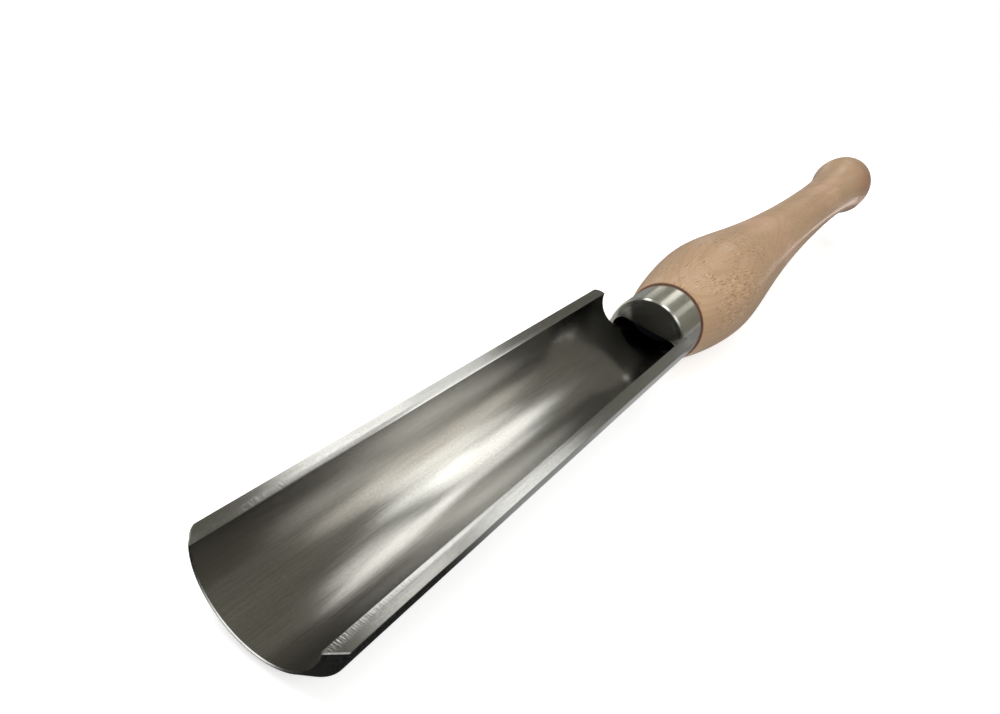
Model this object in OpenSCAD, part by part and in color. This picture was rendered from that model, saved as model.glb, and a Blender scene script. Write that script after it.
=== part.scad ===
// Roughing gouge for spindle turning: a half-tube steel blade with a tang, a turned steel
// ferrule with a milled slot, and a turned beech handle. Millimetres, +Z up, +X from the
// cutting edge towards the butt of the handle. The finished part stands with its origin at
// the centre of its bounding box, at the height of its lowest point.
//
// The modules draw in working coordinates: the wing tips of the cutting edge are at X = 0 and
// the handle's turning axis is the X axis. in_frame() then moves each piece to the origin.

/* [Blade] */
// Width across the two wings, outside to outside
blade_w = 40; // [35:0.5:42]
// Wall thickness of the half tube
blade_wall = 3.7; // [2.8:0.1:4.6]
// Length of the wings from their front tips to their rear ends
wing_len = 182; // [120:1:220]
// How far the blade's underside lies below the handle's axis
under_drop = 5.1; // [4.2:0.1:6]
// Radius of the rear outer corners of the wings, seen from above
wing_corner_r = 2.4; // [0.5:0.1:3.5]

/* [Cutting edge] */
// Angle between the ground bevel and the blade's length
bevel_angle = 40; // [35:1:55]
// How far the nose of the edge sits behind the wing tips
nose_back = 2; // [0:0.1:4]
// Rounding of the two wing tips, seen from the side
tip_r = 0.7; // [0.3:0.1:1.5]

/* [Neck and tang] */
// Height of the neck, from the blade's underside up to the neck's two edges
neck_h = 5; // [4:0.1:6]
// How far the scallops' lowest line lies behind the ferrule's front face
scallop_lap = 0.6; // [0:0.1:2]
// Width of the tang where it leaves the neck
tang_w = 14; // [10:0.5:16]
// Width of the tang near its tip
tang_tip_w = 8; // [5:0.5:10]
// Thickness of the tang
tang_t = 6.4; // [5:0.1:6.8]
// Length of tang inside the handle
tang_len = 95; // [60:1:130]

/* [Ferrule] */
// Outside diameter of the ferrule
ferrule_d = 30.2; // [29:0.1:31]
// Length of the ferrule
ferrule_len = 20.6; // [16:0.2:30]
// Thickness of the solid nose that the neck passes through
nose_t = 8; // [6:0.2:10]
// Wall of the skirt that grips the handle's spigot
skirt_wall = 1.8; // [1.2:0.1:2.6]
// Bright turned chamfer on the front edge
front_chamfer = 0.6; // [0.3:0.1:1]
// Chamfer on the edge that meets the wood
rear_chamfer = 0.3; // [0.1:0.1:0.6]
// Room in the slot above the neck's edges
slot_head = 3.6; // [3.4:0.1:4.4]
// Corner radius left by the slot cutter
slot_r = 4; // [2.5:0.1:4.2]

/* [Handle] */
// Length of the handle behind the ferrule
handle_len = 388; // [300:1:450]
// Diameter of the shoulder just behind the ferrule
shoulder_d = 31.8; // [31.4:0.1:36]
// Diameter of the bulge
bulge_d = 44.4; // [40:0.2:50]
// Distance from the shoulder to the bulge
bulge_at = 50; // [40:1:65]
// Diameter of the waist, the slimmest part of the grip
waist_d = 26.8; // [24:0.2:32]
// Distance from the shoulder to the waist
waist_at = 251; // [180:1:260]
// Diameter of the knob
knob_d = 38.2; // [34:0.2:44]
// Distance from the knob's widest place to the butt
knob_back = 38; // [30:0.5:50]
// Softened edge of the shoulder beside the ferrule
shoulder_round = 0.7; // [0.3:0.1:1.2]

/* [Fits] */
// Clearance between the neck and the slot
slot_clear = 0.2; // [0.1:0.05:0.4]
// Clearance between the spigot and the skirt's bore
spigot_clear = 0.05; // [0.02:0.01:0.15]
// Clearance between the tang and its burned-in mortise
tang_clear = 0.1; // [0.05:0.05:0.3]

/* [Hidden] */
$fn = 96;
// Extra length on cutters, so that they pass right through what they cut
past = 1;

// Blade
blade_r = blade_w / 2;
flute_r = blade_r - blade_wall;
wing_top_z = blade_r - under_drop;
bevel_run = blade_wall / tan(bevel_angle);

// Neck: the scallops are struck about a point level with the wing tops
neck_top_z = neck_h - under_drop;
scallop_r = wing_top_z - neck_top_z;
scallop_x = wing_len + scallop_r;
neck_half_w = sqrt(blade_r * blade_r - scallop_r * scallop_r);
ferrule_x = scallop_x - scallop_lap;

// Ferrule
ferrule_r = ferrule_d / 2;
bore_r = ferrule_r - skirt_wall;
nose_back_x = ferrule_x + nose_t;
shoulder_x = ferrule_x + ferrule_len;
slot_bottom_z = -under_drop - slot_clear;
slot_top_z = neck_top_z + slot_head;
slot_w = 2 * (neck_half_w + slot_clear);

// Tang: its root starts inside the nose and rises in a short ramp
tang_x = nose_back_x - 3;
tang_ramp = 2;
tang_end_x = nose_back_x + tang_len;
tang_point = 6;

// Handle
overall_len = shoulder_x + handle_len;
knob_at = handle_len - knob_back;
spigot_r = bore_r - spigot_clear;

// Points of a cubic curve between two places, without its first point
function curve(a, b, c, d, n) = [
    for (i = [1 : n]) let (t = i / n, u = 1 - t)
        u * u * u * a + 3 * u * u * t * b + 3 * u * t * t * c + t * t * t * d
];

// Half profile of the turned handle, [distance from the shoulder, radius]: a quick rise to the
// bulge, a long fall to the waist, a late flare to the knob and a full rounded butt
function handle_outline() = let (
    s = [shoulder_round, shoulder_d / 2],
    b = [bulge_at, bulge_d / 2],
    w = [waist_at, waist_d / 2],
    k = [knob_at, knob_d / 2],
    e = [handle_len, 0],
    rise = 0.43 * bulge_at,
    fall = waist_at - bulge_at,
    flare = knob_at - waist_at
) concat(
    [[0, shoulder_d / 2 - shoulder_round], s],
    curve(s, s + [0.3, 0.5], b - [rise, 0], b, 10),
    curve(b, b + [0.137 * fall, 0], w - [0.645 * fall, 0], w, 22),
    curve(w, w + [0.94 * flare, 0], k - [0.18 * flare, 0], k, 20),
    curve(k, k + [0.78 * knob_back, 0], e + [0, 0.75 * knob_d / 2], e, 14)
);

module in_frame() {
    translate([-overall_len / 2, 0, bulge_d / 2]) children();
}

// Turns a half profile, [place along X, radius], about the X axis
module turned(outline) {
    rotate([0, 90, 0]) rotate([0, 0, 180])
        rotate_extrude() polygon([for (p = outline) [p[1], p[0]]]);
}

// A section drawn in [Y, Z], run along X from x0 to x1
module along_x(x0, x1) {
    translate([x0, 0, 0]) rotate([90, 0, 90]) linear_extrude(x1 - x0) children();
}

// Half tube, open side up, centred level with the wing tops
module half_tube_section() {
    translate([0, wing_top_z]) difference() {
        circle(blade_r);
        circle(flute_r);
        translate([-blade_w, 0]) square([2 * blade_w, blade_w]);
    }
}

// Everything outside the grinding cone, which meets the flute along the cutting edge. The cone
// sits higher than the flute, so the wings lead, the nose trails and the angle stays the same.
module bevel_waste() {
    ahead = 6;
    behind = bevel_run + nose_back + 3;
    spread = tan(bevel_angle);
    translate([0, 0, wing_top_z]) difference() {
        translate([-ahead, -blade_w, -blade_w]) cube([ahead + behind, 2 * blade_w, 2 * blade_w]);
        translate([-ahead - past, 0, nose_back * spread]) rotate([0, 90, 0])
            cylinder(h = ahead + behind + 2 * past,
                     r1 = flute_r - (ahead + past) * spread,
                     r2 = flute_r + (behind + past) * spread);
    }
}

// Rounds both wing tips, seen from the side
module tip_waste() {
    translate([tip_r, 0, wing_top_z - tip_r]) rotate([90, 0, 0])
        linear_extrude(blade_w + 2 * past, center = true) difference() {
            translate([-tip_r - past, 0]) square([tip_r + past, tip_r + past]);
            circle(tip_r);
        }
}

// Cut that ends both wings: a scallop down to the neck, then level along the neck's edges
module scallop_waste() {
    translate([scallop_x, 0, wing_top_z]) rotate([90, 0, 0])
        cylinder(r = scallop_r, h = blade_w + 2 * past, center = true);
    translate([scallop_x, -blade_r - past, neck_top_z])
        cube([nose_t + scallop_r, blade_w + 2 * past, scallop_r + past]);
}

// Rounds the rear outer corner of one wing, seen from above, and runs on until the scallop
// has taken the wall that far in
module wing_corner_waste() {
    r = wing_corner_r;
    translate([wing_len - r, blade_r - r, wing_top_z - scallop_r]) linear_extrude(scallop_r + past)
        difference() {
            square([r + scallop_r, r + past]);
            circle(r);
        }
}

// Plan of the tang, [X, Y], grown by a clearance for the mortise
module tang_plan(clear) {
    root = tang_w / 2 + clear;
    tip = tang_tip_w / 2 + clear;
    end = tang_end_x + clear;
    polygon([
        [tang_x, -root], [end - tang_point, -tip], [end, -tip / 2],
        [end, tip / 2], [end - tang_point, tip], [tang_x, root]
    ]);
}

module tang() {
    half = tang_t / 2;
    intersection() {
        translate([0, 0, -half]) linear_extrude(tang_t) tang_plan(0);
        rotate([90, 0, 0]) linear_extrude(tang_w + 2 * past, center = true) polygon([
            [tang_x, -half], [tang_end_x, -half], [tang_end_x, half],
            [tang_x + tang_ramp, half], [tang_x, neck_top_z - past]
        ]);
    }
}

module blade() {
    color("#6f6d69") in_frame() union() {
        difference() {
            along_x(-past, nose_back_x - slot_clear) half_tube_section();
            bevel_waste();
            tip_waste();
            scallop_waste();
            wing_corner_waste();
            mirror([0, 1, 0]) wing_corner_waste();
        }
        tang();
    }
}

// Slot milled through the nose, flat above the neck so that the blade can be fed in
module slot_section() {
    r = slot_r;
    w = slot_w / 2;
    union() {
        translate([-w + r, slot_bottom_z]) square([2 * (w - r), slot_top_z - slot_bottom_z]);
        translate([-w, slot_bottom_z + r]) square([2 * w, slot_top_z - slot_bottom_z - 2 * r]);
        for (y = [-w + r, w - r], z = [slot_bottom_z + r, slot_top_z - r])
            translate([y, z]) circle(r);
    }
}

module ferrule() {
    color("#a9a8a3") in_frame() difference() {
        translate([ferrule_x, 0, 0]) turned([
            [0, 0],
            [0, ferrule_r - front_chamfer],
            [front_chamfer, ferrule_r],
            [ferrule_len - rear_chamfer, ferrule_r],
            [ferrule_len, ferrule_r - rear_chamfer],
            [ferrule_len, bore_r],
            [nose_t, bore_r],
            [nose_t, 0]
        ]);
        along_x(ferrule_x - past, nose_back_x + past) slot_section();
    }
}

module handle() {
    spigot_len = ferrule_len - nose_t;
    color("#c49f7c") in_frame() difference() {
        translate([shoulder_x, 0, 0]) turned(concat(
            [[-spigot_len, 0], [-spigot_len, spigot_r], [0, spigot_r]],
            handle_outline()
        ));
        translate([0, 0, -tang_t / 2 - tang_clear]) linear_extrude(tang_t + 2 * tang_clear)
            tang_plan(tang_clear);
    }
}

blade();
ferrule();
handle();
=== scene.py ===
# Roughing gouge: the looks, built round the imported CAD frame.
# Lengths are millimetres until a mesh is made, which is in metres in the row's frame; names that
# end in _M are in metres too. "Working" coordinates put the wing tips of the cutting edge at
# X = 0 and the tool's middle plane at Y = 0. Z = 0 is level with the flat wing tops for the blade
# and on the handle's axis for the rest.
import math

import bpy
import bmesh
import numpy as np
from mathutils import Matrix, Vector


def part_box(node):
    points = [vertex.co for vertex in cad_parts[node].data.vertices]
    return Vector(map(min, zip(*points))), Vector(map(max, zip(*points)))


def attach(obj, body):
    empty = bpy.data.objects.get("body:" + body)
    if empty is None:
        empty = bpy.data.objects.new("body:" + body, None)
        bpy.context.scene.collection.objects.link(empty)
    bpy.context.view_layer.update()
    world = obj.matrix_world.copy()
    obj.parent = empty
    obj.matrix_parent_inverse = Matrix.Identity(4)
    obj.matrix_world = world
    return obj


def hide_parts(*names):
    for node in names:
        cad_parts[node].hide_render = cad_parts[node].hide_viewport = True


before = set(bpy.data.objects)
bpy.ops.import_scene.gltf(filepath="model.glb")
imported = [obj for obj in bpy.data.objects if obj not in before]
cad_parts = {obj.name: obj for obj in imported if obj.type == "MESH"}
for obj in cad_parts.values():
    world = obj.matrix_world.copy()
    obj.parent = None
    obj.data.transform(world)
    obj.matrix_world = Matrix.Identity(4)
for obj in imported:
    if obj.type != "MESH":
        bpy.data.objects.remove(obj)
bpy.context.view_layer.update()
MM = 0.001

# Sizes of the blade, as in the CAD source
BLADE_R = 20.0
FLUTE_R = 16.3
BEVEL = math.radians(40)
NOSE_BACK = 2.0
TIP_R = 0.7
WING_LEN = 182.0
CORNER_R = 2.4
SCALLOP_R = 15.0
SCALLOP_X = WING_LEN + SCALLOP_R
NECK_END = 204.2
# Small shapes that only the looks need
HONE_W = 0.34             # width of the honed facet along the inner side of the cutting edge
HONE_TILT = math.radians(36)
HONE_ACROSS = HONE_W * math.cos(HONE_TILT)  # its width across the wall
EDGE_W = 0.2              # blunt edge between the honed facet and the bevel
FACET_W = 1.1             # hand-dressed facet along the inner edge of each wing top
FACET_DROP = 0.12
FACET_LINES = (17.0, 17.2, 17.4)  # three lines along it, by distance from the middle plane
INNER_ARRIS = 0.05        # how far the softened inner edge falls below the facet
ARRIS = 0.09              # chamfer along the outer edge of each wing top
TIP_EDGE = 0.21           # depth of the softened front edge of each wing top
TIP_EDGE_RUN = 1.77       # its length along X for each unit of depth
TIP_LEAST = ((1, 0.55), (2, 0.32))  # least X of the first wall lines below each wing top
CORNER_FROM = 16.8        # beyond this distance from the middle plane the bevel leads its cone
CORNER_FORWARD = 0.13     # by this much, per mm outwards
LEFT_FORWARD = 0.08       # the same again, at the +Y wing only
CORNER_FADE = 6.0         # depth below the wing tops at which that has faded out
LEFT_ROUND = 1.1          # rounding of the +Y wing's front outer corner, seen from above
LEFT_FADE = 3.0           # depth at which the rounding has faded out

# Sizes of the tang, the ferrule and the handle. Their X is from the wing tips as well.
TANG_X, TANG_END, TANG_POINT, TANG_RAMP = 201.4, 299.4, 6.0, 2.0
TANG_HALF_W, TANG_TIP_HALF_W, TANG_HALF_T = 7.0, 4.0, 3.2
TANG_CLEAR = 0.1
NECK_TOP = -0.1
FERRULE_X, FERRULE_LEN, FERRULE_R = 196.4, 20.6, 15.1
NOSE_T, BORE_R = 8.0, 13.3
FRONT_CHAMFER, REAR_CHAMFER = 0.6, 0.3
SLOT_BOTTOM, SLOT_TOP, SLOT_HALF_W, SLOT_R = -5.3, 3.5, 13.43, 4.0
SHOULDER_X = FERRULE_X + FERRULE_LEN
SPIGOT_R = 13.25
HANDLE_LEN, SHOULDER_R, SHOULDER_ROUND = 388.0, 15.9, 0.7
BULGE_AT, BULGE_R = 50.0, 22.2
WAIST_AT, WAIST_R = 251.0, 13.4
KNOB_AT, KNOB_R = 350.0, 19.1

# How finely the meshes are divided
UPPER_STEPS, LOWER_STEPS, BOTTOM_STEPS = 22, 26, 51  # down each wing's wall, round the bottom
LONG_STEPS, SHORT_STEPS = 25, 3                      # along X
TURN_STEPS = 192                                     # round the handle's axis
SLOT_STEPS, SHOULDER_STEPS = 13, 7
RISE_STEPS, FALL_STEPS, FLARE_STEPS, BUTT_STEPS = 40, 90, 70, 48
WELD_M, SHORT_EDGE_M = 2e-7, 1e-7
SAME = 1e-6               # places this close count as one
PAST = 1.0                # extra length on cutters

# Where the working origin and the handle's axis are in the row's frame
AXIS_Z = BULGE_R
TOP_Z = 37.1
BACK = SHOULDER_X + HANDLE_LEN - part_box("handle")[1].x / MM
FERRULE_FRONT_M = (FERRULE_X - BACK) * MM
WOOD_FRONT_M = (SHOULDER_X - BACK) * MM


def place(points, z_zero):
    """Working points to the row's frame, in metres."""
    p = np.asarray(points, float)
    return (p + np.array([-BACK, 0.0, z_zero])) * MM


def span(a, b, n):
    return np.linspace(a, b, n)


def add_object(name, data):
    o = bpy.data.objects.new(name, data)
    bpy.context.scene.collection.objects.link(o)
    return o


# Mesh helpers
def outward_mesh(name, points, faces, weld=False):
    """A mesh whose normals face outwards. weld joins grids along the lines that they share."""
    data = bpy.data.meshes.new(name)
    data.from_pydata(points.tolist(), [], faces)
    bm = bmesh.new()
    bm.from_mesh(data)
    if weld:
        bmesh.ops.remove_doubles(bm, verts=bm.verts, dist=WELD_M)
        bmesh.ops.dissolve_degenerate(bm, edges=bm.edges, dist=SHORT_EDGE_M)
    bmesh.ops.recalc_face_normals(bm, faces=bm.faces)
    bm.to_mesh(data)
    bm.free()
    return data


class Shell:
    """Collects grids of points and turns them into one mesh."""

    def __init__(self):
        self.points, self.faces, self.count = [], [], 0

    def grid(self, points, both_sides=False):
        """points[i][j] are corners; every cell becomes a face. both_sides adds the mirror in Y."""
        p = np.asarray(points, float)
        n, m = p.shape[:2]
        at = self.count + np.arange(n * m).reshape(n, m)
        self.points.append(p.reshape(-1, 3))
        self.count += n * m
        cells = np.stack([at[:-1, :-1], at[1:, :-1], at[1:, 1:], at[:-1, 1:]], -1)
        self.faces.extend(cells.reshape(-1, 4).tolist())
        if both_sides:
            self.grid(p * np.array([1.0, -1.0, 1.0]))

    def mesh(self, name, z_zero):
        points = place(np.concatenate(self.points), z_zero)
        return outward_mesh(name, points, self.faces, weld=True)


def prism(name, outline, low, high, axis):
    """A closed prism: the outline in its plane, run along axis 0, 1 or 2 from low to high."""
    ends = [np.insert(np.asarray(outline, float), axis, end, axis=1) for end in (low, high)]
    n = len(outline)
    faces = [list(range(n)), list(range(2 * n - 1, n - 1, -1))]
    faces += [[i, (i + 1) % n, n + (i + 1) % n, n + i] for i in range(n)]
    return outward_mesh(name, place(np.concatenate(ends), AXIS_Z), faces)


def lathe(name, profile):
    """Turns a profile of [X, radius] that starts and ends on the axis about the handle's axis."""
    turn = span(0, 2 * math.pi, TURN_STEPS + 1)
    turn[-1] = 0.0
    x, r = np.asarray(profile, float).T
    shell = Shell()
    shell.grid([np.stack([x, r * math.sin(t), r * math.cos(t)], -1) for t in turn])
    return shell.mesh(name, AXIS_Z)


def cut(data, tool, operation):
    """The mesh after an exact boolean with the tool mesh."""
    body, other = add_object("cut_body", data), add_object("cut_tool", tool)
    step = body.modifiers.new("cut", "BOOLEAN")
    step.operation, step.object, step.solver = operation, other, "EXACT"
    bpy.context.view_layer.update()
    evaluated = body.evaluated_get(bpy.context.evaluated_depsgraph_get())
    result = bpy.data.meshes.new_from_object(evaluated)
    result.name = data.name
    for o in (body, other):
        bpy.data.objects.remove(o)
    return result


def piece(name, data, material, node, sharp_deg):
    """A finished piece: smooth shading with crisp edges, in place of its CAD node."""
    data.shade_smooth()
    data.set_sharp_from_angle(angle=math.radians(sharp_deg))
    data.materials.clear()
    data.materials.append(material)
    o = add_object(name, data)
    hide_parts(node)
    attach(o, "root")


# Blade mesh: a half tube whose every wall line runs along X, between the ground front and the
# milled rear. Depths are below the wing tops.
def wall(radius, depth):
    """[Y, Z] on a wall of the tube at these depths."""
    depth = np.asarray(depth, float)
    return np.stack([np.sqrt(np.maximum(radius ** 2 - depth ** 2, 0)), -depth], -1)


def bevel_x(yz):
    """X on the grinding cone, which sits higher than the flute so that the wing tips lead."""
    lift = NOSE_BACK * math.tan(BEVEL)
    rho = np.hypot(yz[..., 0], yz[..., 1] - lift)
    return (rho - FLUTE_R) / math.tan(BEVEL)


def tip_x(yz):
    """X on the small rounding of the wing tips."""
    over = np.clip(TIP_R + yz[..., 1], 0, TIP_R)
    return TIP_R - np.sqrt(TIP_R ** 2 - over ** 2)


def scallop_x(depth):
    """X on the scallops that end the wings."""
    return SCALLOP_X - np.sqrt(np.maximum(SCALLOP_R ** 2 - np.asarray(depth, float) ** 2, 0))


def corner_x(y):
    """X on the rounded rear corners, seen from above."""
    over = np.clip(np.abs(y) - (BLADE_R - CORNER_R), 0, CORNER_R)
    return WING_LEN - CORNER_R + np.sqrt(CORNER_R ** 2 - over ** 2)


def top_z(y):
    """Height of a wing's top across its width: flat, with the dressed facet and the arris."""
    facet_end = FLUTE_R + FACET_W
    flat_end = BLADE_R - ARRIS
    side = math.sqrt(BLADE_R ** 2 - ARRIS ** 2)
    z = -FACET_DROP * np.clip((facet_end - y) / FACET_W, 0, 1)
    z = z - INNER_ARRIS * np.clip((FLUTE_R + HONE_ACROSS - y) / HONE_ACROSS, 0, 1)
    return z - ARRIS * np.clip((y - flat_end) / (side - flat_end), 0, 1)


flat_y = BLADE_R - CORNER_R
corner_depth = math.sqrt(BLADE_R ** 2 - flat_y ** 2)
arris_depth = math.sqrt(BLADE_R ** 2 - (BLADE_R - ARRIS) ** 2)
upper = np.unique(np.round(np.concatenate([
    [ARRIS, TIP_EDGE, 2 * TIP_EDGE, arris_depth], span(TIP_R, corner_depth, UPPER_STEPS)]), 9))
corner_count = len(upper)
lower = FLUTE_R * np.cos(span(
    math.acos(corner_depth / FLUTE_R), math.acos(SCALLOP_R / FLUTE_R), LOWER_STEPS))
depths = np.concatenate([upper, lower[1:]])
wing_count = len(depths)


def whole_wall(radius, first_depth):
    """Wall points from one wing's top round the bottom to the other's."""
    d = depths.copy()
    d[0] = first_depth
    side = wall(radius, d)
    turn = math.acos(SCALLOP_R / radius)
    angle = span(turn, -turn, BOTTOM_STEPS)[1:-1]
    middle = np.stack([radius * np.sin(angle), -radius * np.cos(angle)], -1)
    return np.concatenate([side, middle, (side * [-1, 1])[::-1]])


inner = whole_wall(FLUTE_R, FACET_DROP + INNER_ARRIS)
outer = whole_wall(BLADE_R, ARRIS)
last = len(inner) - 1
neck = slice(wing_count - 1, last - wing_count + 2)

# Places across a wing's top, from the flute outwards. The rear corner's own places are among them.
across = np.concatenate([
    [inner[0, 0], FLUTE_R + HONE_ACROSS, FLUTE_R + HONE_ACROSS + EDGE_W], FACET_LINES,
    np.sqrt(BLADE_R ** 2 - upper ** 2)[::-1]])
inside_count = len(across) - corner_count + 1
share = (across - across[0]) / (across[-1] - across[0])

# Front: the honed facet, the blunt edge, then the bevel
front = inner[:, None, :] + (outer - inner)[:, None, :] * share[None, :, None]
for column, out_by in ((1, HONE_ACROSS), (2, HONE_ACROSS + EDGE_W)):
    front[:, column] = inner * (1 + out_by / FLUTE_R)
for end in (0, last):
    front[end, :, 0] = np.sign(inner[end, 0]) * across
    front[end, :, 1] = top_z(across)
front_x = bevel_x(front)
front_y, front_z = front[..., 0], front[..., 1]
near_top = np.clip(1 + front_z / CORNER_FADE, 0, 1)
front_x -= CORNER_FORWARD * np.maximum(np.abs(front_y) - CORNER_FROM, 0) * near_top
front_x -= LEFT_FORWARD * np.maximum(front_y - CORNER_FROM, 0) * near_top
left_by = np.clip(front_y - (BLADE_R - LEFT_ROUND), 0, LEFT_ROUND)
left_by = left_by * np.clip(1 + front_z / LEFT_FADE, 0, 1)
front_x += LEFT_ROUND - np.sqrt(LEFT_ROUND ** 2 - left_by ** 2)
front_x = np.maximum(front_x, tip_x(front))
for row, least in TIP_LEAST:
    for line in (row, last - row):
        front_x[line] = np.maximum(front_x[line], least)
front_x[:, 1] = front_x[:, 2]
front_x[:, 0] = front_x[:, 2] + HONE_W * math.sin(HONE_TILT)
for end in (0, last):
    front_x[end] += TIP_EDGE_RUN * (top_z(across) + TIP_EDGE)
blade = Shell()
blade.grid(np.concatenate([front_x[..., None], front], -1))


def run(yz, x0, x1, steps):
    """Grid of lines along X, one for each [Y, Z]. x0 and x1 are one number or one for each."""
    t = span(0, 1, steps)[None, :]
    x0, x1 = (np.broadcast_to(np.asarray(x, float), len(yz))[:, None] for x in (x0, x1))
    yz = np.repeat(np.asarray(yz, float)[:, None, :], steps, axis=1)
    return np.concatenate([(x0 * (1 - t) + x1 * t)[..., None], yz], -1)


# Flute wall, to the scallops and the neck
rear_inner = scallop_x(np.minimum(-inner[:, 1], SCALLOP_R))
blade.grid(run(inner, front_x[:, 0], rear_inner, LONG_STEPS))
blade.grid(run(inner[neck], SCALLOP_X, NECK_END, SHORT_STEPS))
# Outer wall, to the rounded rear corners, then to the scallops, then the neck
outer_stop = corner_x(outer[:, 0])
outer_stop[np.abs(outer[:, 0]) < flat_y + SAME] = WING_LEN
blade.grid(run(outer, front_x[:, -1], outer_stop, LONG_STEPS))
low = slice(corner_count - 1, last - corner_count + 2)
rear_outer = scallop_x(np.minimum(-outer[low, 1], SCALLOP_R))
blade.grid(run(outer[low], WING_LEN, rear_outer, SHORT_STEPS))
blade.grid(run(outer[neck], SCALLOP_X, NECK_END, SHORT_STEPS))
# Wing tops
top = np.stack([across, top_z(across)], -1)
top_rear = np.where(across > flat_y + SAME, corner_x(across), scallop_x(-top[:, 1]))
top_rear[inside_count - 1] = WING_LEN
for end, side in ((0, 1.0), (last, -1.0)):
    blade.grid(run(top, front_x[end], top_rear, LONG_STEPS) * np.array([1.0, side, 1.0]))
# Rear corners: the round of each, then the flat behind it up to the scallop
corner_y = outer[:corner_count, 0]
fall = upper / corner_depth
fall[0] = 0.0
corner_top = top_z(corner_y)
down = corner_top[:, None] + (outer[:corner_count, 1] - corner_top)[:, None] * fall[None, :]
blade.grid(np.stack([np.broadcast_to(outer_stop[:corner_count, None], down.shape),
                     np.broadcast_to(corner_y[:, None], down.shape), down], -1), both_sides=True)
flat_depth = -down[-1]
behind = WING_LEN + (scallop_x(flat_depth) - WING_LEN) * span(0, 1, SHORT_STEPS)[:, None]
blade.grid(np.stack([behind, np.full_like(behind, flat_y),
                     np.broadcast_to(-flat_depth, behind.shape)], -1), both_sides=True)
# Scallops and the neck's two edges
part = (across[:inside_count] - across[0]) / (across[inside_count - 1] - across[0])
side_in = inner[:wing_count]
side_out = outer[:wing_count].copy()
side_out[:corner_count] = np.stack([np.full(corner_count, flat_y), -flat_depth], -1)
face = side_in[:, None, :] + (side_out - side_in)[:, None, :] * part[None, :, None]
face[0, :, 1] = top_z(face[0, :, 0])
blade.grid(np.concatenate([scallop_x(-face[..., 1])[..., None], face], -1), both_sides=True)
blade.grid(run(face[-1], SCALLOP_X, NECK_END, SHORT_STEPS), both_sides=True)
# Hidden end of the neck
end_face = inner[neck][:, None, :] + (outer[neck] - inner[neck])[:, None, :] * part[None, :, None]
blade.grid(np.concatenate([np.full(end_face.shape[:2] + (1,), NECK_END), end_face], -1))
blade_mesh = blade.mesh("blade_body", TOP_Z)


def tang_solid(clear):
    """The tapered bar, grown by a clearance for its mortise."""
    half, tip, end = TANG_HALF_W + clear, TANG_TIP_HALF_W + clear, TANG_END + clear
    point, thick = end - TANG_POINT, TANG_HALF_T + clear
    plan = [[TANG_X, -half], [point, -tip], [end, -tip / 2],
            [end, tip / 2], [point, tip], [TANG_X, half]]
    return prism("tang", plan, -thick, thick, axis=2)


# The tang's root is cut to a short ramp. The cutter is higher and wider than the tang.
ramp_top, ramp_half_w = 8.0, 12.0
ramp_end = TANG_X + TANG_RAMP
ramp = prism("ramp", [
    [TANG_X - PAST, NECK_TOP - PAST], [TANG_X, NECK_TOP - PAST], [ramp_end, TANG_HALF_T],
    [ramp_end, ramp_top], [TANG_X - PAST, ramp_top]], -ramp_half_w, ramp_half_w, axis=1)
tang_mesh = cut(tang_solid(0.0), ramp, "DIFFERENCE")
blade_mesh = cut(blade_mesh, tang_mesh, "UNION")

# Ferrule mesh
fx = FERRULE_X
ferrule_mesh = lathe("ferrule_body", [
    [fx, 0], [fx, FERRULE_R - FRONT_CHAMFER], [fx + FRONT_CHAMFER, FERRULE_R],
    [fx + FERRULE_LEN - REAR_CHAMFER, FERRULE_R], [fx + FERRULE_LEN, FERRULE_R - REAR_CHAMFER],
    [fx + FERRULE_LEN, BORE_R], [fx + NOSE_T, BORE_R], [fx + NOSE_T, 0]])
quarter_turn = np.radians(span(0, 90, SLOT_STEPS))
slot_outline = []
for quarter, (sy, sz) in enumerate([(1, 1), (-1, 1), (-1, -1), (1, -1)]):
    cy = sy * (SLOT_HALF_W - SLOT_R)
    cz = SLOT_TOP - SLOT_R if sz > 0 else SLOT_BOTTOM + SLOT_R
    for a in quarter_turn + quarter * math.pi / 2:
        slot_outline.append([cy + SLOT_R * math.cos(a), cz + SLOT_R * math.sin(a)])
slot_tool = prism("slot", slot_outline, fx - PAST, fx + NOSE_T + PAST, axis=0)
ferrule_mesh = cut(ferrule_mesh, slot_tool, "DIFFERENCE")


# Handle mesh, with the same curves as in the CAD source
def curve(a, b, c, d, n):
    """n points of a cubic curve from a to d, without a."""
    a, b, c, d = (np.array(p, float) for p in (a, b, c, d))
    t = span(0, 1, n + 1)[1:, None]
    u = 1 - t
    return u ** 3 * a + 3 * u * u * t * b + 3 * u * t * t * c + t ** 3 * d


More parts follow.
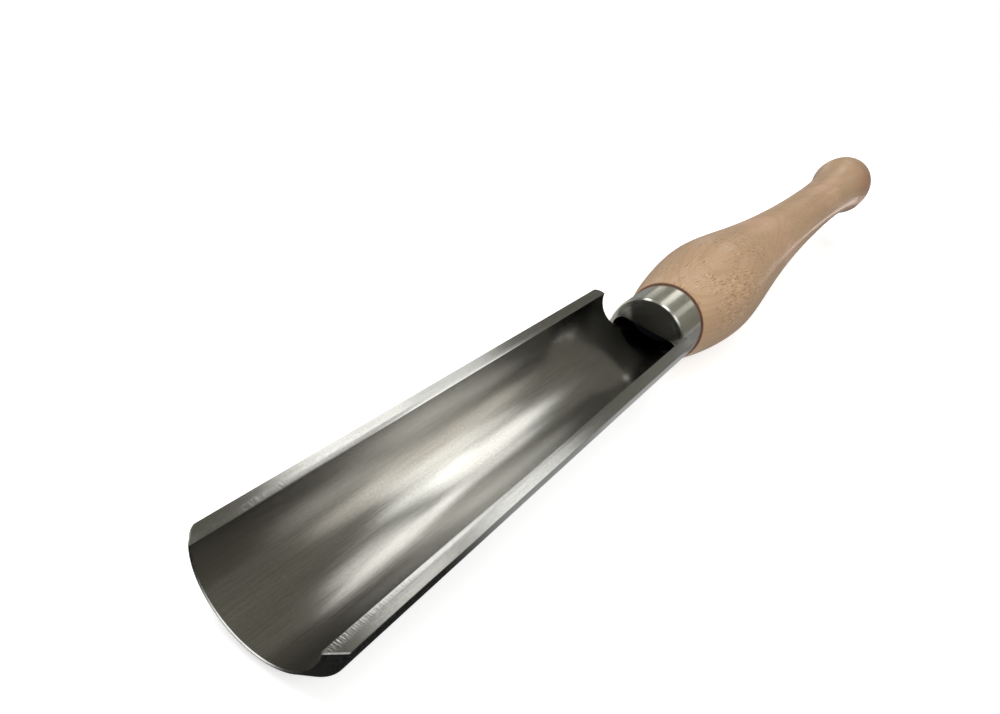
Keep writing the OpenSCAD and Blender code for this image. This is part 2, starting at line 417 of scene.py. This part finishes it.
s, b = [SHOULDER_ROUND, SHOULDER_R], [BULGE_AT, BULGE_R]
w, k, e = [WAIST_AT, WAIST_R], [KNOB_AT, KNOB_R], [HANDLE_LEN, 0.0]
fall_len, flare_len, back_len = WAIST_AT - BULGE_AT, KNOB_AT - WAIST_AT, HANDLE_LEN - KNOB_AT
round_a = np.radians(span(0, 90, SHOULDER_STEPS))
shoulder = np.stack([SHOULDER_ROUND * (1 - np.cos(round_a)),
                     SHOULDER_R - SHOULDER_ROUND * (1 - np.sin(round_a))], -1)
spigot_x = FERRULE_X + NOSE_T - SHOULDER_X
handle_profile = [SHOULDER_X, 0] + np.concatenate([
    [[spigot_x, 0], [spigot_x, SPIGOT_R], [0, SPIGOT_R]],
    shoulder,
    curve(s, [s[0] + 0.3, s[1] + 0.5], [b[0] - 0.43 * BULGE_AT, b[1]], b, RISE_STEPS),
    curve(b, [b[0] + 0.137 * fall_len, b[1]], [w[0] - 0.645 * fall_len, w[1]], w, FALL_STEPS),
    curve(w, [w[0] + 0.94 * flare_len, w[1]], [k[0] - 0.18 * flare_len, k[1]], k, FLARE_STEPS),
    curve(k, [k[0] + 0.78 * back_len, k[1]], [e[0], 0.75 * KNOB_R], e, BUTT_STEPS),
])
handle_mesh = lathe("handle_body", handle_profile)
handle_mesh = cut(handle_mesh, tang_solid(TANG_CLEAR), "DIFFERENCE")


# Material helpers
class Nodes:
    """Short calls for building the node tree of a material or of the world."""

    def __init__(self, owner, output="ShaderNodeOutputMaterial"):
        owner.use_nodes = True
        self.owner, self.tree = owner, owner.node_tree
        self.tree.nodes.clear()
        self.output = self.add(output)

    def add(self, kind, inputs=None, **settings):
        node = self.tree.nodes.new(kind)
        for key, value in settings.items():
            setattr(node, key, value)
        for key, value in (inputs or {}).items():
            self.put(node.inputs[key], value)
        return node

    def put(self, socket, value):
        if isinstance(value, bpy.types.NodeSocket):
            self.tree.links.new(value, socket)
        else:
            socket.default_value = value

    def math(self, operation, a, b=0.0, clamp=False):
        return self.add("ShaderNodeMath", {0: a, 1: b}, operation=operation,
                        use_clamp=clamp).outputs[0]

    def plus(self, a, b):
        return self.math("ADD", a, b)

    def minus(self, a, b):
        return self.math("SUBTRACT", a, b)

    def times(self, value, *others):
        for other in others:
            value = self.math("MULTIPLY", value, other)
        return value

    def hypot(self, a, b):
        return self.math("SQRT", self.plus(self.times(a, a), self.times(b, b)))

    def vector(self, operation, inputs, output="Vector"):
        return self.add("ShaderNodeVectorMath", inputs, operation=operation).outputs[output]

    def ramp(self, value, low, high, to_low=0.0, to_high=1.0, smooth=True):
        return self.add("ShaderNodeMapRange", {
            "Value": value, "From Min": low, "From Max": high, "To Min": to_low, "To Max": to_high},
            interpolation_type="SMOOTHSTEP" if smooth else "LINEAR").outputs[0]

    def scaled(self, vector, scale, move=(0.0, 0.0, 0.0)):
        return self.add("ShaderNodeMapping", {
            "Vector": vector, "Scale": scale, "Location": move}).outputs[0]

    def noise(self, vector, detail=2.0, rough=0.5):
        return self.add("ShaderNodeTexNoise", {
            "Vector": vector, "Scale": 1.0, "Detail": detail, "Roughness": rough}).outputs["Fac"]

    def streaks(self, vector, along, across, detail=2.0, rough=0.5, move=(0.0, 0.0, 0.0)):
        """Noise with so many cells per metre along X, and so many across it."""
        return self.noise(self.scaled(vector, (along, across, across), move), detail, rough)

    def mix(self, factor, a, b, blend="MIX"):
        node = self.add("ShaderNodeMix", data_type="RGBA", blend_type=blend)
        self.put(node.inputs[0], factor)
        for socket, value in ((node.inputs[6], a), (node.inputs[7], b)):
            self.put(socket, value if isinstance(value, bpy.types.NodeSocket) else (*value, 1.0))
        return node.outputs[2]

    def mix_value(self, factor, a, b):
        return self.add("ShaderNodeMix", {0: factor, 2: a, 3: b}, data_type="FLOAT").outputs[0]

    def toned(self, colour, tone):
        return self.mix(1.0, colour, self.join(tone, tone, tone), "MULTIPLY")

    def place(self):
        """Position in the row's frame, in metres; every piece sits at the origin."""
        return self.add("ShaderNodeTexCoord").outputs["Object"]

    def split(self, vector):
        return tuple(self.add("ShaderNodeSeparateXYZ", {0: vector}).outputs)

    def join(self, x, y, z):
        return self.add("ShaderNodeCombineXYZ", {0: x, 1: y, 2: z}).outputs[0]

    def bump(self, height, distance, normal=None):
        node = self.add("ShaderNodeBump", {"Height": height, "Distance": distance, "Strength": 1.0})
        if normal is not None:
            self.put(node.inputs["Normal"], normal)
        return node.outputs[0]

    def round_axis(self):
        """Tangent that runs round the tool's length."""
        return self.add("ShaderNodeTangent", direction_type="RADIAL", axis="X").outputs[0]

    def finish(self, shader):
        self.tree.links.new(shader.outputs[0], self.output.inputs["Surface"])
        return self.owner


# Blade's looks: two tints of bare steel and the wing tops', painted shade in the flute beside the
# ferrule, and painted shade on the neck in the ferrule's slot
STEEL_TINTS = ((0.405, 0.395, 0.372), (0.4, 0.402, 0.385))
WING_TOP_TINT, WING_TOP_ROUGH = (0.4, 0.403, 0.393), 0.185
FLUTE_SHADE_TINT, FLUTE_SHADE_COVER = (0.06, 0.062, 0.065), 0.6
SLOT_SHADE_TINT, IN_SLOT_ROUGH = (0.02, 0.024, 0.03), 0.5
# Painted shade: over this stretch the steel gets darker towards the neck
NECK_SHADE_M = (-0.17, -0.11)        # the steel gets darker towards the neck over this stretch
STROKES_FADE_M = (-0.28, -0.2)    # and the file's strokes fade out over this one
BRUSH_DEPTH_M, WAVE_DEPTH_M, STROKE_DEPTH_M = 0.000005, 0.00012, 0.00003


def steel_blade():
    n = Nodes(bpy.data.materials.new("brushed_blade_steel"))
    at = n.place()
    x, y, z = n.split(at)
    fine = n.streaks(at, 110.0, 5200.0)
    medium = n.streaks(at, 60.0, 2200.0)
    grain = n.streaks(at, 1700.0, 3000.0, detail=1.0)
    broad = n.streaks(at, 14.0, 190.0)
    streak = n.plus(n.times(fine, 0.5), n.times(medium, 0.5))
    # The tone's last factor is painted shade towards the neck
    tone = n.times(n.ramp(streak, 0.3, 0.7, 0.92, 1.06, smooth=False),
                   n.ramp(grain, 0.3, 0.7, 0.93, 1.06, smooth=False),
                   n.ramp(broad, 0.3, 0.7, 0.95, 1.04),
                   n.ramp(x, *NECK_SHADE_M, 1.0, 0.6))
    on_top = n.ramp(z, (TOP_Z - 0.25) * MM, (TOP_Z - 0.2) * MM)
    tint = n.mix(n.streaks(at, 30.0, 60.0, detail=1.0), *STEEL_TINTS)
    colour = n.toned(n.mix(on_top, tint, WING_TOP_TINT), tone)
    radius = n.hypot(y, n.minus(z, TOP_Z * MM))
    # Painted shade: the flute's wall darkens towards the ferrule
    in_flute = n.ramp(radius, (FLUTE_R + 0.02) * MM, (FLUTE_R + 0.2) * MM, 1.0, 0.0)
    near_ferrule = n.ramp(x, FERRULE_FRONT_M - 26 * MM, FERRULE_FRONT_M - 2 * MM)
    colour = n.mix(n.times(in_flute, near_ferrule, FLUTE_SHADE_COVER), colour, FLUTE_SHADE_TINT)
    # Painted shade: the neck inside the ferrule's slot is made almost black
    in_slot = n.ramp(x, FERRULE_FRONT_M - 1.5 * MM, FERRULE_FRONT_M + 2.5 * MM)
    colour = n.mix(in_slot, colour, SLOT_SHADE_TINT)
    rough = n.ramp(medium, 0.25, 0.75, 0.16, 0.2, smooth=False)
    rough = n.mix_value(in_slot, rough, IN_SLOT_ROUGH)
    rough = n.mix_value(on_top, rough, WING_TOP_ROUGH)
    waves = n.streaks(at, 22.0, 70.0, detail=1.0)
    brushing = n.plus(n.times(fine, 0.5), medium)
    normal = n.bump(brushing, BRUSH_DEPTH_M, n.bump(waves, WAVE_DEPTH_M))

    # Strokes of a file across the dressed facet, strongest near the front
    strokes = n.noise(n.join(n.times(x, 2600.0), n.times(y, 500.0), 0.0), detail=3.0)
    patches = n.ramp(n.noise(n.scaled(at, (90.0, 300.0, 0.0)), detail=1.0), 0.35, 0.6, 0.4, 1.0)
    side = n.math("ABSOLUTE", y)
    on_facet = n.times(n.ramp(side, (FLUTE_R - 0.1) * MM, FLUTE_R * MM),
                       n.ramp(side, (FLUTE_R + 1.0) * MM, (FLUTE_R + 2.4) * MM, 1.0, 0.0))
    forward = n.ramp(x, *STROKES_FADE_M, 1.0, 0.0)
    strokes = n.times(strokes, on_facet, on_top, forward, patches)
    return n.finish(n.add("ShaderNodeBsdfPrincipled", {
        "Base Color": colour, "Metallic": 1.0, "Roughness": rough, "Anisotropic": 0.92,
        "Normal": n.bump(strokes, STROKE_DEPTH_M, normal), "Tangent": n.round_axis()}))


FERRULE_TINT = (0.56, 0.557, 0.508)
TURNING_DEPTH_M = 0.000002


def steel_ferrule():
    n = Nodes(bpy.data.materials.new("turned_ferrule_steel"))
    x, y, z = n.split(n.place())
    radius = n.hypot(y, n.minus(z, AXIS_Z * MM))

    def rings(per_metre, seed, detail):
        """Noise that is the same all round the axis, like a lathe tool's marks."""
        return n.noise(n.join(n.times(x, per_metre), n.times(radius, per_metre), seed), detail)

    marks = rings(3500.0, 0.0, 2.0)
    coarse = rings(900.0, 3.0, 1.0)
    tone = n.ramp(n.plus(n.times(marks, 0.6), n.times(coarse, 0.4)),
                  0.3, 0.7, 0.95, 1.04, smooth=False)
    on_side = n.ramp(x, FERRULE_FRONT_M + 0.1 * MM, FERRULE_FRONT_M + FRONT_CHAMFER * MM)
    return n.finish(n.add("ShaderNodeBsdfPrincipled", {
        "Base Color": n.toned(FERRULE_TINT, tone), "Metallic": 1.0,
        "Roughness": n.ramp(coarse, 0.25, 0.75, 0.18, 0.22),
        "Anisotropic": 0.3, "Anisotropic Rotation": 0.25,
        "Normal": n.bump(n.times(marks, on_side), TURNING_DEPTH_M), "Tangent": n.round_axis()}))


# The handle's grain: its direction runs out of the tool's axis by some degrees, and the heart of
# the tree lies this far below the place on top of the bulge that shows the rings' ovals. Metres.
GRAIN_TURN = (0.0, math.radians(2.3), math.radians(9.2))
OVALS_AT_M = (-0.055, -0.0032, 0.0429)
HEART_DEPTH_M = 0.085
HEART_DIRECTION = (0.0, 0.15, -0.985)
RING_M = 0.00125
WARP_M = 0.0022           # how far the rings wander
BEND_M = 0.0016           # and how far the flecks' outlines do
PORE_DEPTH_M = 0.00003
# Colours, with how far each covers what lies under it
WOOD_TINTS = ((0.345, 0.22, 0.125), (0.395, 0.26, 0.146))
PINK_TINT, PINK_COVER = (0.52, 0.315, 0.21), 0.7
YEARS_TINT, YEARS_COVER = (0.375, 0.235, 0.13), 0.4
LATE_TINT, LATE_COVER = (0.305, 0.18, 0.095), 0.45
FIBRE_TINT, FIBRE_COVER = (0.27, 0.155, 0.082), 0.34
FLECK_HIGHLIGHT_TINT, FLECK_HIGHLIGHT_COVER = (0.62, 0.44, 0.27), 0.5
FLECK_TINT, FLECK_COVER = (0.2, 0.105, 0.045), 0.72
JOINT_DIRT_AND_SHADE_TINT, JOINT_DIRT_AND_SHADE_COVER = (0.09, 0.022, 0.013), 0.9
KNOB_SIDE_SHADE_TINT, KNOB_SIDE_SHADE_COVER = (0.22, 0.1, 0.055), 0.85
# Two sizes of fleck: cells per metre along the grain and across it, and a seed
FLECKS = ((120.0, 950.0, 0.0), (170.0, 1250.0, 7.3))


def beech():
    n = Nodes(bpy.data.materials.new("oiled_beech"))
    at = n.place()
    at_x, at_y = n.split(at)[:2]
    turned = n.add("ShaderNodeMapping", {"Vector": at, "Rotation": GRAIN_TURN}).outputs[0]
    heart = Matrix.Rotation(GRAIN_TURN[2], 3, "Z") @ Matrix.Rotation(GRAIN_TURN[1], 3, "Y") @ (
        Vector(OVALS_AT_M) + Vector(HEART_DIRECTION) * HEART_DEPTH_M)
    y, z = n.split(turned)[1:]
    dy, dz = n.minus(y, heart.y), n.minus(z, heart.z)
    warp = n.streaks(turned, 7.0, 28.0)
    count = n.math("DIVIDE", n.plus(n.hypot(dy, dz), n.times(warp, WARP_M)), RING_M)
    years = n.add("ShaderNodeTexNoise", {"W": n.times(count, 0.45), "Scale": 1.0, "Detail": 2.0},
                  noise_dimensions="1D").outputs["Fac"]
    ring = n.math("FRACT", count)
    late = n.times(n.ramp(ring, 0.45, 0.95), n.ramp(ring, 0.95, 1.0, 1.0, 0.0),
                   n.ramp(years, 0.35, 0.65, 0.35, 1.0))

    # How far the surface faces the heart: such a flat-sawn face shows the dark ray ends
    away = n.vector("NORMALIZE", {0: n.join(0.0, dy, dz)})
    normal = n.add("ShaderNodeMapping", {
        "Vector": n.add("ShaderNodeNewGeometry").outputs["Normal"], "Rotation": GRAIN_TURN},
        vector_type="VECTOR").outputs[0]
    facing = n.math("ABSOLUTE", n.vector("DOT_PRODUCT", {0: away, 1: normal}, "Value"))

    broad = n.streaks(turned, 9.0, 45.0, detail=3.0)
    base = n.mix(n.ramp(broad, 0.3, 0.7), *WOOD_TINTS)
    pink = n.streaks(turned, 14.0, 50.0, move=(3.0, 1.0, 2.0))
    base = n.mix(n.ramp(pink, 0.5, 0.75, 0.0, PINK_COVER), base, PINK_TINT)
    base = n.mix(n.ramp(years, 0.4, 0.75, 0.0, YEARS_COVER), base, YEARS_TINT)
    base = n.mix(n.times(late, LATE_COVER), base, LATE_TINT)
    fibre = n.streaks(turned, 55.0, 1500.0, detail=3.0, rough=0.6)
    base = n.mix(n.ramp(fibre, 0.45, 0.8, 0.0, FIBRE_COVER), base, FIBRE_TINT)
    curls = n.add("ShaderNodeTexNoise", {"Vector": turned, "Scale": 330.0, "Detail": 1.0})
    curls = n.vector("SCALE", {0: curls.outputs["Color"], "Scale": BEND_M})
    bent = n.vector("ADD", {0: turned, 1: curls})

    def flecks(move_y, move_z):
        layers = []
        for along, across_grain, seed in FLECKS:
            cells = n.add("ShaderNodeTexVoronoi", {"Scale": 1.0, "Vector": n.scaled(
                bent, (along, across_grain, across_grain), (seed, move_y + seed, move_z))})
            layers.append(n.ramp(cells.outputs["Distance"], 0.2, 0.37, 1.0, 0.0))
        return n.math("MAXIMUM", *layers)

    # Dark flecks, each with a painted highlight on one side, in patches and mostly on the bulge
    fleck = flecks(0.0, 0.0)
    lit = n.math("SUBTRACT", flecks(0.32, -0.1), fleck, clamp=True)
    patchy = n.times(n.ramp(n.streaks(turned, 45.0, 140.0, detail=1.0), 0.38, 0.54),
                     n.ramp(facing, 0.35, 0.6), n.ramp(at_x, -0.015, 0.02, 1.0, 0.12))
    fleck = n.times(fleck, patchy)
    base = n.mix(n.times(lit, patchy, FLECK_HIGHLIGHT_COVER), base, FLECK_HIGHLIGHT_TINT)
    base = n.mix(n.times(fleck, FLECK_COVER), base, FLECK_TINT)

    # Dirt and painted shade in the joint beside the ferrule, and painted shade on the knob's -Y
    # side
    joint = n.ramp(at_x, WOOD_FRONT_M, WOOD_FRONT_M + 0.35 * MM, 1.0, 0.0)
    base = n.mix(n.times(joint, JOINT_DIRT_AND_SHADE_COVER), base, JOINT_DIRT_AND_SHADE_TINT)
    # Painted shade: the knob darkens on its -Y side
    knob = n.times(n.ramp(at_x, 0.225, 0.275), n.ramp(at_y, 0.004, -0.018))
    base = n.mix(n.times(knob, KNOB_SIDE_SHADE_COVER), base, KNOB_SIDE_SHADE_TINT)
    height = n.minus(n.times(fibre, 0.4), fleck)
    return n.finish(n.add("ShaderNodeBsdfPrincipled", {
        "Base Color": base, "Roughness": n.ramp(fibre, 0.3, 0.7, 0.46, 0.56),
        "Coat Weight": 0.3, "Coat Roughness": 0.22, "Normal": n.bump(height, PORE_DEPTH_M)}))


piece("blade_body", blade_mesh, steel_blade(), "blade", sharp_deg=18)
piece("ferrule_body", ferrule_mesh, steel_ferrule(), "ferrule", sharp_deg=30)
piece("handle_body", handle_mesh, beech(), "handle", sharp_deg=40)

# Camera, at the photo's viewing angle. The axes point right, up and backwards in its picture.
CAMERA_AT_M = (-0.38335, -0.06409, 0.15929)
CAMERA_AXES = ((0.51584794, -0.80812633, 0.28431098), (0.31673191, 0.48826968, 0.81318732),
               (-0.79597852, -0.32943065, 0.5078323))
camera_data = bpy.data.cameras.new("camera")
camera_data.lens, camera_data.sensor_width = 30.118, 36.0
camera_data.shift_x, camera_data.shift_y = -0.00401, 0.00098
camera_data.clip_start, camera_data.clip_end = 0.01, 50.0
camera = add_object("camera", camera_data)
turn = Matrix(CAMERA_AXES).transposed().to_4x4()
camera.matrix_world = Matrix.Translation(CAMERA_AT_M) @ turn
bpy.context.scene.camera = camera

# Floor: it lies on the two lowest places that the tool rests on, the heel and the bulge
FLOOR_HALF = 4000.0
FLOOR_GAP_M = 2e-5
NEAR_WHITE = 0.55         # strength of the floor's own white beside the tool; far away it is 1
WHITENS_M = (0.5, 1.2)    # distances from the middle of the tool over which that changes
heel = np.array([front_x[last // 2, -1] - BACK, TOP_Z - BLADE_R])
rest_x = handle_profile[:, 0] - BACK
rest_z = AXIS_Z - handle_profile[:, 1]
slope = float(np.min((rest_z - heel[1]) / (rest_x - heel[0])))


def floor_z(x):
    return heel[1] + slope * (x - heel[0])


def seen_share(n):
    """1 for rays from the camera and for reflections, 0 for the light that falls on things."""
    path = n.add("ShaderNodeLightPath")
    total = n.plus(path.outputs["Is Camera Ray"], path.outputs["Is Glossy Ray"])
    return n.math("ADD", total, path.outputs["Is Transmission Ray"], clamp=True)


def pale_floor():
    """Matte, white where it is seen, and clear from below."""
    n = Nodes(bpy.data.materials.new("pale_floor"))
    from_tool = n.vector("LENGTH", {0: n.place()}, "Value")
    white = n.times(seen_share(n), n.ramp(from_tool, *WHITENS_M, NEAR_WHITE, 1.0))
    shine = n.add("ShaderNodeEmission", {"Color": (1, 1, 1, 1), "Strength": white})
    matte = n.add("ShaderNodeBsdfDiffuse", {"Color": (0.8, 0.8, 0.8, 1)})
    both = n.add("ShaderNodeAddShader", {0: matte.outputs[0], 1: shine.outputs[0]})
    below = n.add("ShaderNodeNewGeometry").outputs["Backfacing"]
    clear = n.add("ShaderNodeBsdfTransparent")
    return n.finish(n.add("ShaderNodeMixShader", {
        0: below, 1: both.outputs[0], 2: clear.outputs[0]}))


corners = [(x * MM, y * MM, floor_z(x) * MM - FLOOR_GAP_M) for x, y in (
    (-FLOOR_HALF, -FLOOR_HALF), (FLOOR_HALF, -FLOOR_HALF),
    (FLOOR_HALF, FLOOR_HALF), (-FLOOR_HALF, FLOOR_HALF))]
floor_mesh = bpy.data.meshes.new("floor")
floor_mesh.from_pydata(corners, [], [(0, 1, 2, 3)])
floor_mesh.materials.append(pale_floor())
add_object("floor", floor_mesh)

# World: white where it is seen, and a soft even light on the object
WORLD_LIGHT = 0.28
n = Nodes(bpy.data.worlds.new("world"), "ShaderNodeOutputWorld")
strength = n.ramp(seen_share(n), 0.0, 1.0, WORLD_LIGHT, 1.0, smooth=False)
bpy.context.scene.world = n.finish(n.add("ShaderNodeBackground", {
    "Color": (1, 1, 1, 1), "Strength": strength}))


def heading(azimuth, elevation):
    """Unit vector: azimuth from +X towards +Y, both in degrees."""
    a, e = math.radians(azimuth), math.radians(elevation)
    return Vector((math.cos(a) * math.cos(e), math.sin(a) * math.cos(e), math.sin(e)))


# Reflection tent: a dark dome that only reflections see, with soft bright openings in it. Each
# opening lies at a polar angle from +X and a turn about +X, from straight up towards +Y.
OPENINGS = [
    # turn, polar, half turn, half polar, turn gained per degree of polar, strength, tint
    (5, 41.7, 16, 5.0, 0.0, 2.35, (1.0, 0.998, 0.975)),
    (-10, 46.6, 9, 3.9, 0.0, 2.1, (1.0, 0.995, 0.97)),
    (34, 42.5, 7, 4.5, 0.0, 1.8, (1.0, 0.998, 0.98)),
    (5, 51.0, 14, 3.0, 0.0, 0.18, (1.0, 0.995, 0.965)),
    (43, 51.0, 10, 5.6, 1.3, 2.3, (1.0, 0.99, 0.96)),
    (26, 52.3, 11.5, 3.7, 0.0, 1.25, (1.0, 0.99, 0.96)),
    (71, 47.0, 15, 5.4, 0.0, 2.1, (1.0, 0.99, 0.96)),
    (-30, 44.2, 10.5, 5.2, -0.6, 2.0, (1.0, 0.99, 0.95)),
    (-48, 51.5, 11, 3.2, -1.0, 0.9, (1.0, 0.95, 0.88)),
    (-58, 44.0, 19, 6.2, 0.0, 1.1, (1.0, 0.95, 0.87)),
    (21, 22.0, 11.5, 2.9, 0.0, 2.4, (1.0, 1.0, 0.94)),
    (-31, 22.0, 10, 2.9, 0.0, 1.0, (1.0, 0.99, 0.92)),
    (79, 22.0, 12.5, 2.9, 0.0, 1.3, (1.0, 0.99, 0.92)),
    (15, 24.0, 75, 6.0, 0.0, 0.1, (1.0, 1.0, 0.94)),
    (39, 108.0, 7, 4.4, 0.0, 3.2, (1.0, 1.0, 1.0)),
    (-2, 115.0, 9, 4.0, 0.0, 3.6, (1.0, 1.0, 1.0)),
    (-32, 116.0, 7, 3.5, 0.0, 1.8, (1.0, 1.0, 1.0)),
    (0, 112.0, 58, 5.3, 0.0, 0.4, (1.0, 1.0, 0.95)),
    (-41, 108.5, 7, 3.1, 0.0, 3.5, (1.0, 1.0, 1.0)),
    # Overhead and behind, for the views from above and from the other sides
    (0, 83.0, 125, 14.0, 0.0, 0.85, (1.0, 1.0, 0.98)),
    (0, 128.0, 110, 8.5, 0.0, 0.6, (1.0, 1.0, 0.98)),
]
# An opening is full in its middle and falls off softly: the gain sets how wide the middle is,
# and the power how soon the light falls beyond it
OPENING_GAIN, OPENING_POWER = 1.6, 3.0
# Grey of the dome itself, towards the front and towards the butt
TENT_DARK, TENT_GREY = 0.03, 0.2
TENT_TINT = (1.0, 0.96, 0.78)
TENT_R = 3700.0
TENT_AT_M = (-0.2, 0.0, 0.03)
TENT_RINGS, TENT_SIDES = 35, 73
# Degrees by which the rim stands above the floor: none behind the tool, this much at its sides and
# twice as much in front
RIM_LIFT = 2.5


def tent_material():
    n = Nodes(bpy.data.materials.new("tent"))
    x, y, z = n.split(n.vector("NORMALIZE", {0: n.place()}))
    polar = n.math("DEGREES", n.math("ARCCOSINE", x))
    turn = n.math("DEGREES", n.math("ARCTAN2", y, z))
    total = n.toned(TENT_TINT, n.ramp(x, -0.3, 0.5, TENT_DARK, TENT_GREY))
    for turn_at, polar_at, half_turn, half_polar, slant, strength, tint in OPENINGS:
        up_by = n.minus(polar, polar_at)
        side_by = n.minus(n.minus(turn, turn_at), n.times(up_by, slant))
        u = n.math("DIVIDE", side_by, half_turn)
        v = n.math("DIVIDE", up_by, half_polar)
        reach = n.plus(n.times(u, u), n.times(v, v))
        glow = n.math("POWER", 0.5, n.math("POWER", reach, OPENING_POWER))
        glow = n.math("MINIMUM", n.times(glow, OPENING_GAIN), 1.0)
        light = n.vector("SCALE", {0: tuple(c * strength for c in tint), "Scale": glow})
        total = n.vector("ADD", {0: total, 1: light})
    n.owner.cycles.emission_sampling = "NONE"
    return n.finish(n.add("ShaderNodeEmission", {"Color": total, "Strength": 1.0}))


def tent_mesh():
    """A dome whose rim lies on the floor behind the tool and leaves a low white band in front."""
    azimuths = span(0, 360, TENT_SIDES)
    ahead = np.cos(np.radians(azimuths))
    rims = np.degrees(np.arctan(slope * ahead)) + RIM_LIFT * (1 - ahead)
    rows = [[TENT_R * heading(az, rim + (90 - rim) * lift) for az, rim in zip(azimuths, rims)]
            for lift in span(0, 1, TENT_RINGS)]
    shell = Shell()
    shell.grid(np.array(rows) + [BACK, 0, 0])
    return shell.mesh("tent", 0.0)


def only_reflected(o):
    o.visible_camera = o.visible_diffuse = o.visible_transmission = False
    o.visible_shadow = o.visible_volume_scatter = False


tent_data = tent_mesh()
tent_data.materials.append(tent_material())
tent = add_object("tent", tent_data)
tent.location = TENT_AT_M
only_reflected(tent)


# Cards that only reflections see. The dark one under the blade keeps its bevel and walls dark, the
# dim one lies behind it, the sheen card lights the knob's side and the edge card the cutting edge.
def shade_under_blade(n):
    """Almost black under the bevel, lighter towards the neck, and gone at the sides."""
    x, y = n.split(n.place())[:2]
    along = n.plus(n.ramp(x, -0.252, -0.212, 0.02, 0.4), n.ramp(x, -0.17, -0.13, 0.0, 0.13))
    beside = n.math("MAXIMUM", n.ramp(y, -0.115, -0.06, 0.62, 0.0),
                    n.ramp(y, 0.015, 0.05, 0.0, 0.62))
    return n.math("MAXIMUM", along, beside)


def card(name, points, value, tint=(1.0, 1.0, 1.0)):
    """A flat card. value is its strength, or a function that builds it from nodes."""
    data = bpy.data.meshes.new(name)
    data.from_pydata([tuple(c * MM for c in p) for p in points], [], [tuple(range(len(points)))])
    n = Nodes(bpy.data.materials.new(name))
    n.owner.cycles.emission_sampling = "NONE"
    strength = value(n) if callable(value) else value
    data.materials.append(n.finish(n.add("ShaderNodeEmission", {
        "Color": (*tint, 1.0), "Strength": strength})))
    only_reflected(add_object(name, data))


def over_floor(places, lift):
    return [(x, y, floor_z(x) + lift) for x, y in places]


def oblong(x0, x1, y0, y1):
    return [(x0, y0), (x1, y0), (x1, y1), (x0, y1)]


CARD_LIFT, SHEEN_LIFT = 0.2, 0.4
EDGE_CARD_X, EDGE_CARD_H = -900, 130
edge_foot = over_floor([(EDGE_CARD_X, -260), (EDGE_CARD_X, 480)], 0)
edge_head = over_floor([(EDGE_CARD_X, 480), (EDGE_CARD_X, -260)], EDGE_CARD_H)
card("dark_card", over_floor(oblong(-335, -60, -116, 51), CARD_LIFT), shade_under_blade)
card("dim_card", over_floor(oblong(-60, 2500, -1500, 1500), CARD_LIFT), 0.27)
card("sheen_card", over_floor([(400, -70), (400, -30), (680, -170), (680, -240)], SHEEN_LIFT),
     4.0, (1.0, 0.84, 0.78))
card("edge_card", edge_foot + edge_head, 2.6)

# Lamps. Reflections don't see them, so they light only what is matte.
LAMP_DISTANCE_M = 1.6
LAMP_TARGET_M = Vector((0, 0, 0.02))


def lamp(name, azimuth, elevation, size, radiance, tint):
    data = bpy.data.lights.new(name, "AREA")
    data.shape, data.size = "DISK", size
    data.energy = radiance * math.pi * math.pi * (size / 2) ** 2
    data.color = tint
    o = add_object(name, data)
    d = heading(azimuth, elevation)
    o.location = LAMP_TARGET_M + d * LAMP_DISTANCE_M
    o.rotation_euler = d.to_track_quat("Z", "Y").to_euler()
    o.visible_camera = o.visible_glossy = False


lamp("key", 128, 62, 1.2, 4.2, (1.0, 0.985, 0.96))
lamp("fill", -120, 40, 1.4, 2.8, (1.0, 0.99, 0.97))
lamp("top", 10, 80, 1.2, 2.0, (1.0, 1.0, 1.0))

bpy.context.scene.view_settings.view_transform = "Standard"
